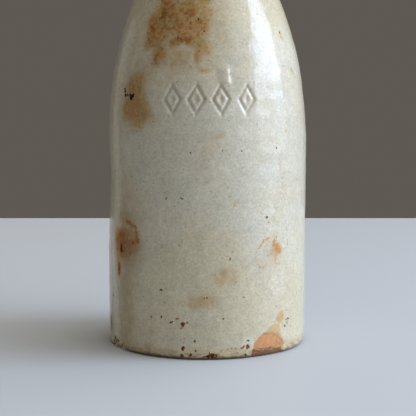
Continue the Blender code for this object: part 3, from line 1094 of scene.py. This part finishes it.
@dataclass
class SubAssembly:
    """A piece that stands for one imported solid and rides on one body."""

    node: ClassVar[str]
    body: ClassVar[Body]
    slot: ClassVar[Slot]
    closure: Closure

    def dress(self, piece: Piece, finish: bpy.types.Material) -> None:
        """Gives the piece its finish, and says which solid it stands for and which body it rides on.

        Args:
            piece: The new piece.
            finish: Its material.
        """
        piece.data.materials.append(finish)
        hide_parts(self.node)
        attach(piece, self.body.value)
        log.info("%s stands for %s: %d faces", piece.name, self.node, len(piece.data.polygons))


@dataclass
class StonewareBody(SubAssembly):
    """The thrown bottle: wall, shoulder, neck, collared lip and hollow, with dents, chips and a stamp.

    Spans are the start, end and step of rows, in millimetres, and of columns, in degrees. A dent is an
    angle, a height, a breadth in degrees, a size upwards and how far it stands out, in millimetres.
    A lozenge of the stamped row is an angle and a lean, in degrees, and how hard it is pressed. Over the
    grid, angle is in radians from the front, and arc and height are in millimetres round and up the wall.
    """

    node = "stoneware_body"
    body = Body.BOTTLE
    slot = Slot.STONEWARE
    foot_round: float = 0.0015
    straight: float = 0.0810
    shoulder: float = 0.1287
    fullness: float = 0.0660
    ease: float = 0.0560
    collar_radius: float = 0.0190
    collar_round: float = 0.0030
    lip_radius: float = 0.0165
    lip_round: float = 0.0022
    wall: float = 0.0075
    floor: float = 0.0095
    cavity_round: float = 0.0090
    pole_gap: float = 0.004
    row_spans: Rows = (
        (1.5, 20.0, 0.5), (20.0, 95.0, 0.95), (95.0, 111.0, 0.5), (111.0, 150.0, 0.95), (150.0, 209.7, 2.2),
    )
    column_spans: Rows = (
        (-180.0, -96.0, 2.4), (-96.0, -28.0, 1.1), (-28.0, 30.0, 0.7), (30.0, 54.0, 0.9), (54.0, 96.0, 1.1),
        (96.0, 180.0, 2.4),
    )
    dents: Rows = ((-84.0, 70.0, 30.0, 17.0, -1.15), (86.0, 117.0, 26.0, 11.0, 0.32))
    lozenges: Rows = ((-19.5, 2.5, 1.0), (-6.0, -2.0, 0.95), (7.6, 1.5, 1.0), (22.4, -4.0, 0.75))
    stamp_height: float = 102.8
    stamp_depth: float = 0.80
    radius: float = field(init=False)
    lip_top: float = field(init=False)
    outline: Array = field(init=False)
    outer: Array = field(init=False)
    angle: Array = field(init=False)
    arc: Array = field(init=False)
    height: Array = field(init=False)

    def __post_init__(self) -> None:
        """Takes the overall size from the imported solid, and lays out the grid of rows and columns."""
        low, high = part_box("stoneware_body")
        self.radius, self.lip_top = 0.5 * (high.x - low.x), high.z
        outside = self.outside()
        self.outline = np.concatenate([outside, self.inside()])
        self.outer = np.arange(len(self.outline))[:, None] < len(outside)
        angles = np.radians(spaced(self.column_spans))
        self.angle = np.broadcast_to(angles, (len(self.outline), len(angles)))
        self.arc = self.angle * self.radius / MM
        self.height = np.broadcast_to(self.outline[:, 1:] / MM, self.angle.shape)

    def slope(self, low_radius: float, high_radius: float, heights: Array) -> Array:
        """The S-curve from the wall into the neck, read at given heights.

        Args:
            low_radius: Radius where it leaves the wall.
            high_radius: Radius where it meets the neck.
            heights: Where it is read.

        Returns:
            Points (radius, height).
        """
        low, high = self.straight, self.straight + self.shoulder
        handles = (low_radius, low + self.fullness), (high_radius, high - self.ease)
        curve = bezier(((low_radius, low), *handles, (high_radius, high)), 400)
        return np.stack([np.interp(heights, curve[:, 1], curve[:, 0]), heights], axis=1)

    def outside(self) -> Array:
        """The outline of the outside, from next to the foot's middle to the lip's flat top.

        Returns:
            Points (radius, height).
        """
        base, top = self.closure.collar_base, self.lip_top
        wall, neck, collar, lip = self.radius, self.closure.neck_radius, self.collar_radius, self.lip_radius
        flat = wall - self.foot_round
        edge, lip_low = base + self.collar_round, top - self.lip_round
        third = (lip_low - edge) / 3
        return joined(
            np.linspace((self.pole_gap, 0.0), (flat, 0.0), 12),
            quarter_round(((flat, 0.0), (wall, 0.0), (wall, self.foot_round)), 8),
            self.slope(wall, neck, MM * spaced(self.row_spans)),
            np.linspace((neck, self.straight + self.shoulder), (neck, base), 9),
            quarter_round(((collar - self.collar_round, base), (collar, base), (collar, edge)), 9),
            bezier(((collar, edge), (collar, edge + third), (lip, lip_low - third), (lip, lip_low)), 18),
            quarter_round(((lip, lip_low), (lip, top), (lip - self.lip_round, top)), 9),
        )

    def inside(self) -> Array:
        """The outline of the hollow, from the mouth's edge down to next to the floor's middle.

        Returns:
            Points (radius, height).
        """
        bore, mouth, top = self.closure.bore_radius, self.closure.mouth_round, self.lip_top
        inner, floor, corner = self.radius - self.wall, self.floor, self.cavity_round
        return joined(
            quarter_round(((bore + mouth, top), (bore, top), (bore, top - mouth)), 6),
            self.slope(inner, bore, np.linspace(self.straight + self.shoulder, self.straight, 34)),
            quarter_round(((inner, floor + corner), (inner, floor), (inner - corner, floor)), 7),
            np.linspace((inner - corner, floor), (self.pole_gap, floor), 6),
        )

    def stamped_row(self) -> Array:
        """Lozenges pressed into the wet clay. Each is a groove where |x|/a + |y|/b is near 0.78, and a dot.

        Returns:
            Depth in millimetres.
        """
        depth = np.zeros_like(self.arc)
        up = self.height - self.stamp_height
        for angle, lean, press in self.lozenges:
            across = self.arc - math.radians(angle) * self.radius / MM
            cosine, sine = math.cos(math.radians(lean)), math.sin(math.radians(lean))
            x, y = across * cosine + up * sine, up * cosine - across * sine
            rhomb = np.abs(x) / 4.3 + np.abs(y) / 6.8
            groove = np.exp(-(((rhomb - 0.78) / 0.145) ** 2))
            depth = np.maximum(depth, press * np.maximum(groove, 0.8 * bell(x / 0.95, y / 1.5)))
        return self.stamp_depth * depth

    def within(self, *patches: Corners) -> Array:
        """How many millimetres deep each point lies inside the nearest of some patches."""
        corners = [np.array(patch) * (math.radians(1.0) * self.radius / MM, 1.0) for patch in patches]
        return np.max([outline_depth(patch, self.arc, self.height) for patch in corners], axis=0)

    def stained(self, blobs: tuple[Blob, ...]) -> Array:
        """Soft stains: 1 less the product of 1 - strength * exp(-(x/across)^2 - (y/tall)^2) over the blobs.

        Args:
            blobs: The stains.

        Returns:
            A share from 0 to 1 for each point.
        """
        clean = np.ones_like(self.arc)
        for blob in blobs:
            x = (self.arc - math.radians(blob.angle) * self.radius / MM) / blob.across
            clean *= 1.0 - blob.strength * bell(x, (self.height - blob.height) / blob.tall)
        return 1.0 - clean

    def relief(self) -> Array:
        """How far the outside stands out from a true turned form: dents, rings, stamp, flakes and a run.

        Returns:
            Millimetres outwards.
        """
        angle, arc, height = self.angle, self.arc, self.height
        thrown = 0.22 * np.cos(2 * angle + 0.7)
        thrown += 0.025 * np.sin(TURN * height / 7.3 + angle) + 0.025 * np.sin(height / 2.1 - angle)
        thrown += 0.07 * waves(arc, height, 34.0, 9, 11) + 0.010 * waves(arc, height, 10.0, 12, 12)
        for middle, level, across, tall, out in self.dents:
            thrown += out * bell((np.degrees(angle) - middle) / across, (height - level) / tall)
        beside = arc - 9.2 + 0.10 * (height - 112.0)
        run = between(beside, -5.5, -1.0, -0.9, 1.0) * between(height, 107.4, 109.2, 114.0, 116.5)
        thrown += run * (0.46 + 0.10 * np.sin(1.5 * height))
        flake = -0.40 * smooth_step(self.within(FLAKE), -0.35, 0.35)
        chips = -0.90 * smooth_step(self.within(*CHIPS), -0.4, 0.8)
        chips *= 0.62 + 0.52 * waves(arc, height, 3.0, 9, 14)
        foot_line = -0.12 * (1.0 - smooth_step(height + 0.5 * waves(arc, height, 12.0, 7, 15), 3.6, 4.4))
        loose = 1.0 - smooth_step(height, 175.0, 200.0)
        return loose * thrown + flake + chips + foot_line - self.stamped_row()

    def build(self) -> Piece:
        """The body as one closed turned surface, displaced outwards, with its marks kept as numbers.

        Returns:
            The piece.
        """
        radius, level = self.outline[:, :1], self.outline[:, 1:]
        shown = self.outer & ((radius > self.radius - 2 * self.foot_round) | (level > MM))
        points = turned(radius + MM * shown * self.relief(), self.angle, self.height * MM)
        piece = closed_surface("glazed_body", points, (0.0, 0.0, 0.0), (0.0, 0.0, self.floor))
        for name, blobs in (
            ("rust", RUST), ("red", RED), ("ochre", OCHRE), ("orange", ORANGE), ("pale", PALE_AND_HIGHLIGHT),
            ("painted_sheen", PAINTED_SHEEN), ("painted_shade", PAINTED_SHADE),
        ):
            store(piece, name, shown * self.stained(blobs))
        for name, patches in (("clay", (FLAKE,)), ("tan", SKINS), ("chip", CHIPS), ("reflection_strip", (REFLECTION_STRIP,))):
            store(piece, name, self.within(*patches))
        throat = (self.lip_top - self.closure.mouth_round) / MM
        store(piece, "hollow", ~self.outer & (self.height < throat))
        under = self.outer & (radius < self.radius - 1.2 * self.foot_round) & (level < 0.5 * MM)
        store(piece, "underside", np.broadcast_to(under, self.angle.shape))
        return piece


@dataclass
class CorkStopper(SubAssembly):
    """The cork, drawn a little tighter in the neck than above it, with pores and the groove of the bail."""

    node = "cork_stopper"
    body = Body.CORK
    slot = Slot.CORK
    taper: float = 0.0008
    edge: float = 0.0010
    flare: float = 0.0009
    dome: float = 0.0018
    rim: float = 0.0006
    swell: float = 0.0001
    pore_depth: float = 0.35 * MM
    groove: float = 0.0012
    columns: int = 180
    pores: int = 90

    def outline(self, lip_top: float) -> Array:
        """The cork from its lower end to its domed top.

        Args:
            lip_top: Height of the bottle's lip.

        Returns:
            Points (radius, height), close together above the lip.
        """
        low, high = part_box("cork_stopper")
        shank = self.closure.bore_radius - self.closure.fit
        foot, head = shank - self.taper, shank + self.flare
        bevel, rim, top = foot - self.edge, head - self.rim, high.z - self.dome
        throat, mouth = lip_top - self.closure.mouth_round, lip_top + self.closure.mouth_round
        ball = (head**2 + self.dome**2) / (2 * self.dome)
        reach = np.linspace(rim, 0.0004, 34)
        return joined(
            np.linspace((0.001, low.z), (bevel, low.z), 8),
            quarter_round(((bevel, low.z), (foot, low.z), (foot, low.z + self.edge)), 4),
            np.linspace((foot, low.z + self.edge), (shank, throat), 20),
            bezier(((shank, throat), (shank, lip_top), (head, lip_top), (head, mouth)), 8),
            np.linspace((head, mouth), (head, top - self.rim), 22),
            quarter_round(((head, top - self.rim), (head, top), (rim, top + 0.0001)), 5),
            np.stack([reach, high.z - ball + np.sqrt(ball**2 - reach**2)], axis=1),
        )

    def pits(self, spots: Array, lip_top: float) -> Array:
        """Pores at random places of the head: the largest of exp(-(away/size)^2) over the pores.

        Args:
            spots: Points of the cork.
            lip_top: Height of the bottle's lip.

        Returns:
            Depths from 0 to 1.
        """
        rng = np.random.default_rng(21)
        turn = rng.uniform(-math.pi, math.pi, self.pores)
        level = rng.uniform(lip_top, lip_top + 0.009, self.pores)
        out = rng.uniform(0.0, 0.012, self.pores).clip(0.0, self.closure.bore_radius + self.flare)
        size = rng.uniform(0.00025, 0.0007, self.pores)
        x, y, z = np.moveaxis(spots[:, :, None] - turned(out, turn, level), -1, 0)
        return np.exp(-((np.hypot(np.hypot(x, y), 0.6 * z) / size) ** 2)).max(axis=-1)

    def build(self, lip_top: float) -> Piece:
        """The cork as a turned surface with bark and pores in its head, and the bail's groove along X.

        Args:
            lip_top: Height of the bottle's lip.

        Returns:
            The piece.
        """
        outline = self.outline(lip_top)
        angles = np.linspace(-math.pi, math.pi, self.columns, endpoint=False)
        angle = np.broadcast_to(angles, (len(outline), self.columns))
        radius, height = (np.broadcast_to(axis[:, None], angle.shape) for axis in outline.T)
        spots = turned(radius, angle, height)
        pit = self.pits(spots, lip_top)
        head = smooth_step(height, lip_top, lip_top + 0.002)
        top = smooth_step(height, lip_top + 0.0060, lip_top + 0.0070)
        bark = waves(radius * angle / MM, height / MM, 3.0, 12, 22)
        out = head * (0.07 * MM * bark - self.pore_depth * pit)
        down = self.pore_depth * top * (np.exp(-((spots[:, :, 1] / self.groove) ** 2)) + 0.5 * pit)
        points = turned(radius + np.minimum(out, self.swell), angle, height - down)
        low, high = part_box("cork_stopper")
        piece = closed_surface("cork_bung", points, (0.0, 0.0, low.z), (0.0, 0.0, high.z - self.pore_depth))
        store(piece, "pore", head * smooth_step(pit, 0.35, 0.8))
        return piece


@dataclass
class NeckWire(SubAssembly):
    """The wire round the neck, with an eye on each side and its ends twisted together behind."""

    node = "neck_wire"
    body = Body.BOTTLE
    slot = Slot.WIRE
    eye_return: float = math.radians(60.0)
    lead_in: float = math.radians(28.0)
    twist_pitch: float = 0.0082
    twist_turns: float = 1.4
    stations: int = 900
    sides: int = 20
    unevenness: float = 0.03

    def arc(self, start: float, end: float, leaves_eye: bool) -> Array:
        """Part of the ring. After an eye it lies one pitch out, and eases back to the neck by a cosine.

        Args:
            start: First angle from +X towards +Y, in radians.
            end: Last angle.
            leaves_eye: Whether it starts at an eye.

        Returns:
            Points.
        """
        shut = self.closure
        angle = np.linspace(start, end, 120)
        share = np.clip((angle - start) / self.eye_return, 0.0, 1.0)
        reach = shut.ring_radius + 0.5 * (1 + np.cos(math.pi * share)) * shut.eye_pitch * leaves_eye
        level = np.full(120, shut.ring_height)
        return np.stack([reach * np.cos(angle), reach * np.sin(angle), level], axis=1)

    def eye(self, side: float) -> Array:
        """One full turn round the bail's pin that moves one pitch outwards.

        Args:
            side: 1 for the eye towards +X, -1 for the one towards -X.

        Returns:
            Points.
        """
        shut = self.closure
        turn = np.linspace(0.0, TURN, 90)
        x = shut.ring_radius + shut.eye_pitch * turn / TURN
        y = shut.eye_radius * np.sin(turn)
        z = shut.ring_height - shut.eye_radius + shut.eye_radius * np.cos(turn)
        return np.stack([side * x, side * y, z], axis=1)

    def strand(self, phase: float) -> Array:
        """One twisted end: a helix down from the ring, beside the back of the neck.

        Args:
            phase: Where round the twist it starts, in radians.

        Returns:
            Points from the ring down.
        """
        shut = self.closure
        reach = shut.wire_radius + 0.5 * shut.wire_gap
        turn = np.linspace(0.0, self.twist_turns * TURN, 120)
        x = reach * np.cos(phase + turn)
        y = shut.ring_radius + reach + reach * np.sin(phase + turn)
        return np.stack([x, y, shut.ring_height - self.twist_pitch * turn / TURN], axis=1)

    def build(self) -> Piece:
        """The whole wire along its path, with the direction away from the bottle's axis as its side.

        Returns:
            The piece.
        """
        back = 0.25 * TURN
        last, outer = self.arc(0.0, back - self.lead_in, True), self.strand(back)
        start, end = last[-1], outer[0]
        reach = np.linalg.norm(end - start) / 3
        heading = np.array([-math.cos(self.lead_in), math.sin(self.lead_in), 0.0])
        path = joined(
            self.strand(-back)[::-1],
            self.arc(back, math.pi, False),
            self.eye(-1.0),
            self.arc(math.pi, TURN, True),
            self.eye(1.0),
            last,
            bezier((start, start + reach * heading, end + (reach, 0.0, 0.0), end), 24),
            outer,
        )
        path = evenly(path, self.stations)
        away = path * (1.0, 1.0, 0.0)
        radius = self.closure.wire_radius
        return round_wire("twisted_neck_wire", path, away, radius, self.sides, self.unevenness, 31)


@dataclass
class WireBail(SubAssembly):
    """The bail: pins in the eyes, legs past the collar and a crown that dips onto the cork."""

    node = "wire_bail"
    body = Body.BAIL
    slot = Slot.WIRE
    foot_bend: float = 0.0026
    crown_bend: float = 0.0085
    dip: float = 0.0030
    stations: int = 520
    sides: int = 24
    unevenness: float = 0.025

    def half(self, leg: float, reach: float) -> Array:
        """The bail's right half, upright with its pivot at the origin: pin, foot bend, crown bend and dip.

        Args:
            leg: How far out the leg stands.
            reach: How far the dip lies from the pivot.

        Returns:
            Points from the pin to the dip.
        """
        pin, bend = self.closure.neck_radius + self.closure.fit, self.foot_bend
        top, crown = reach + self.dip, leg - self.crown_bend
        share = np.linspace(0.0, 1.0, 60)
        rise = 0.5 * self.dip * (1 + np.cos(math.pi * share))
        return joined(
            [[pin, 0.0, 0.0]],
            quarter_round(((leg - bend, 0, 0), (leg, 0, 0), (leg, 0, bend)), 30),
            quarter_round(((leg, 0, top - self.crown_bend), (leg, 0, top), (crown, 0, top)), 60),
            np.stack([crown * (1 - share), np.zeros(60), reach + rise], axis=1),
        )

    def build(self) -> Piece:
        """The bail's wire, drawn upright about its pivot and then swung back to where it hangs.

        Its dip lies just clear of the cork as the bail swings over it.

        Returns:
            The piece.
        """
        swing = next(joint for joint in frame["joints"] if joint["name"] == "bail_swing")
        pivot, radius = np.array(swing["pos_m"]), self.closure.bail_radius
        hang = math.radians(0.5 * swing["range_deg"][1])
        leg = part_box("wire_bail")[1].x - radius
        cork_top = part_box("cork_stopper")[1].z
        half = self.half(leg, cork_top - pivot[2] + self.closure.fit + radius)
        path = evenly(joined(half, half[::-1] * (-1.0, 1.0, 1.0)), self.stations)
        cosine, sine = math.cos(-hang), math.sin(-hang)
        turn = np.array([[1.0, 0.0, 0.0], [0.0, cosine, -sine], [0.0, sine, cosine]])
        square = np.broadcast_to(turn @ np.array([0.0, 1.0, 0.0]), path.shape)
        path = path @ turn.T + pivot
        return round_wire("bent_bail", path, square, radius, self.sides, self.unevenness, 41)


# Stage


@dataclass(frozen=True)
class Lamp:
    """A soft rectangular lamp that faces the bottle.

    It hangs at an azimuth from the front towards +X, and an elevation, in degrees.
    """

    name: str
    azimuth: float
    elevation: float
    distance: float
    width: float
    height: float
    watts: float
    colour: Colour

    def build(self, aim: Vector) -> None:
        """Hangs the lamp round the bottle.

        Args:
            aim: The point that it faces.
        """
        turn, rise = math.radians(self.azimuth), math.radians(self.elevation)
        away = Vector((math.sin(turn) * math.cos(rise), -math.cos(turn) * math.cos(rise), math.sin(rise)))
        light = bpy.data.lights.new(self.name, "AREA")
        light.shape = "RECTANGLE"
        light.size, light.size_y = self.width, self.height
        light.energy, light.color = self.watts, self.colour
        lamp = placed(self.name, light)
        lamp.location = aim + away * self.distance
        lamp.rotation_euler = (-away).to_track_quat("-Z", "Y").to_euler()


@dataclass(frozen=True)
class Glow:
    """Soft light from one side of the world: none where a heading's share along it is start, full at 1."""

    side: tuple[float, float, float]
    start: float
    colour: Colour


@dataclass
class Studio:
    """A pale floor, soft lamps and the camera."""

    floor_colour: Colour = (0.460, 0.490, 0.525)
    floor_radius: float = 0.46
    floor_sides: int = 96
    floor_roughness: float = 0.6
    backdrop: Colour = (0.112, 0.101, 0.087)
    ambient: Colour = (0.058, 0.044, 0.030)
    glows: tuple[Glow, ...] = (
        Glow((0.0, 0.0, 1.0), 0.0, (0.550, 0.514, 0.446)),
        Glow((0.89, -0.18, 0.42), 0.2, (1.24, 1.245, 1.23)),
        Glow((0.88, 0.36, 0.31), 0.2, (0.60, 0.615, 0.60)),
    )
    lens: float = 100.0
    sensor: float = 36.0
    camera_back: float = 0.4905
    camera_height: float = 0.1072
    pitch: float = math.radians(5.93)
    left_pixels: float = 1.0
    aim: Vector = field(default_factory=lambda: Vector((0.0, 0.0, 0.09)))
    lamps: tuple[Lamp, ...] = (
        Lamp("window", 79.5, 20.9, 1.2, 0.86, 0.43, 7.9, (0.62, 0.74, 1.0)),
        Lamp("ledge", 79.5, 10.05, 1.2, 0.86, 0.028, 0.29, (0.62, 0.74, 1.0)),
        Lamp("fanlight", 87.0, 41.0, 1.2, 0.40, 0.44, 4.2, (0.60, 0.73, 1.0)),
        Lamp("sill", 79.5, 3.1, 1.2, 0.86, 0.265, 1.57, (0.62, 0.74, 1.0)),
        Lamp("far_window", -130.0, 6.0, 1.2, 0.34, 0.60, 0.16, (1.0, 0.98, 0.84)),
    )

    def floor(self) -> None:
        """A pale flat square with round corners: rings of points where |x|^6 + |y|^6 is the same."""
        angle = np.linspace(0.0, TURN, self.floor_sides, endpoint=False)
        square = (np.abs(np.cos(angle)) ** 6 + np.abs(np.sin(angle)) ** 6) ** (-1.0 / 6.0)
        reach = self.floor_radius * np.array([0.25, 0.5, 0.75, 1.0])[:, None] * square
        points = np.stack([reach * np.cos(angle), reach * np.sin(angle), np.zeros(reach.shape)], axis=-1)
        here = np.arange(reach.size).reshape(reach.shape)
        beside = np.roll(here, -1, axis=1)
        quads = np.stack([here[:-1], here[1:], beside[1:], beside[:-1]], axis=-1).reshape(-1, 4)
        mesh = bpy.data.meshes.new("studio_floor")
        mesh.from_pydata(points.reshape(-1, 3).tolist(), [], quads.tolist() + [here[0].tolist()])
        finish = bpy.data.materials.new("studio_floor")
        finish.use_nodes = True
        shader = finish.node_tree.nodes["Principled BSDF"]
        shader.inputs["Base Color"].default_value = (*self.floor_colour, 1.0)
        shader.inputs["Roughness"].default_value = self.floor_roughness
        mesh.materials.append(finish)
        placed("studio_floor", mesh)

    def world(self) -> None:
        """Soft light of the glows over a little all round, and a plain backdrop for camera and gloss."""
        world = bpy.data.worlds.new("studio")
        world.use_nodes = True
        sheet = NodeSheet(world.node_tree)
        heading = sheet.add("TexCoord", {}).outputs["Generated"]
        light: Value = self.ambient
        for glow in self.glows:
            facing = sheet.measure("DOT_PRODUCT", heading, glow.side)
            light = sheet.blend(sheet.ease(facing, glow.start, 1.0), light, glow.colour, "ADD")
        rays = sheet.add("LightPath", {}).outputs
        seen = sheet.larger(rays["Is Camera Ray"], rays["Is Glossy Ray"])
        seen = sheet.larger(seen, rays["Is Transmission Ray"])
        background = world.node_tree.nodes["Background"]
        sheet.feed(background.inputs["Color"], sheet.blend(seen, light, self.backdrop))
        bpy.context.scene.world = world

    def camera(self) -> None:
        """The camera in front of the bottle, a little above its middle and looking slightly down."""
        data = bpy.data.cameras.new("camera")
        data.lens, data.sensor_width = self.lens, self.sensor
        data.shift_x = self.left_pixels / PICTURE_WIDTH
        camera = placed("camera", data)
        camera.location = (0.0, -self.camera_back, self.camera_height)
        camera.rotation_euler = (0.25 * TURN - self.pitch, 0.0, 0.0)
        bpy.context.scene.camera = camera

    def build(self) -> None:
        """Sets up the floor, the light and the camera."""
        self.floor()
        self.world()
        for lamp in self.lamps:
            lamp.build(self.aim)
        self.camera()
        bpy.context.scene.view_settings.view_transform = "Standard"


def main() -> None:
    """Builds every piece in order, then the stage."""
    logging.basicConfig(level=logging.INFO, format="%(name)s: %(message)s")
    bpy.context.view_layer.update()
    effects = Effects()
    closure = Closure()

    body = StonewareBody(closure)
    glaze = SaltGlaze(effects, body.radius).build()
    body.dress(body.build(), glaze)
    cork = CorkStopper(closure)
    bark = NaturalCork(effects).build()
    cork.dress(cork.build(body.lip_top), bark)
    iron = RustedWire(effects).build()
    for wire in (NeckWire(closure), WireBail(closure)):
        wire.dress(wire.build(), iron)
    Studio().build()


if __name__ == "__main__":
    main()
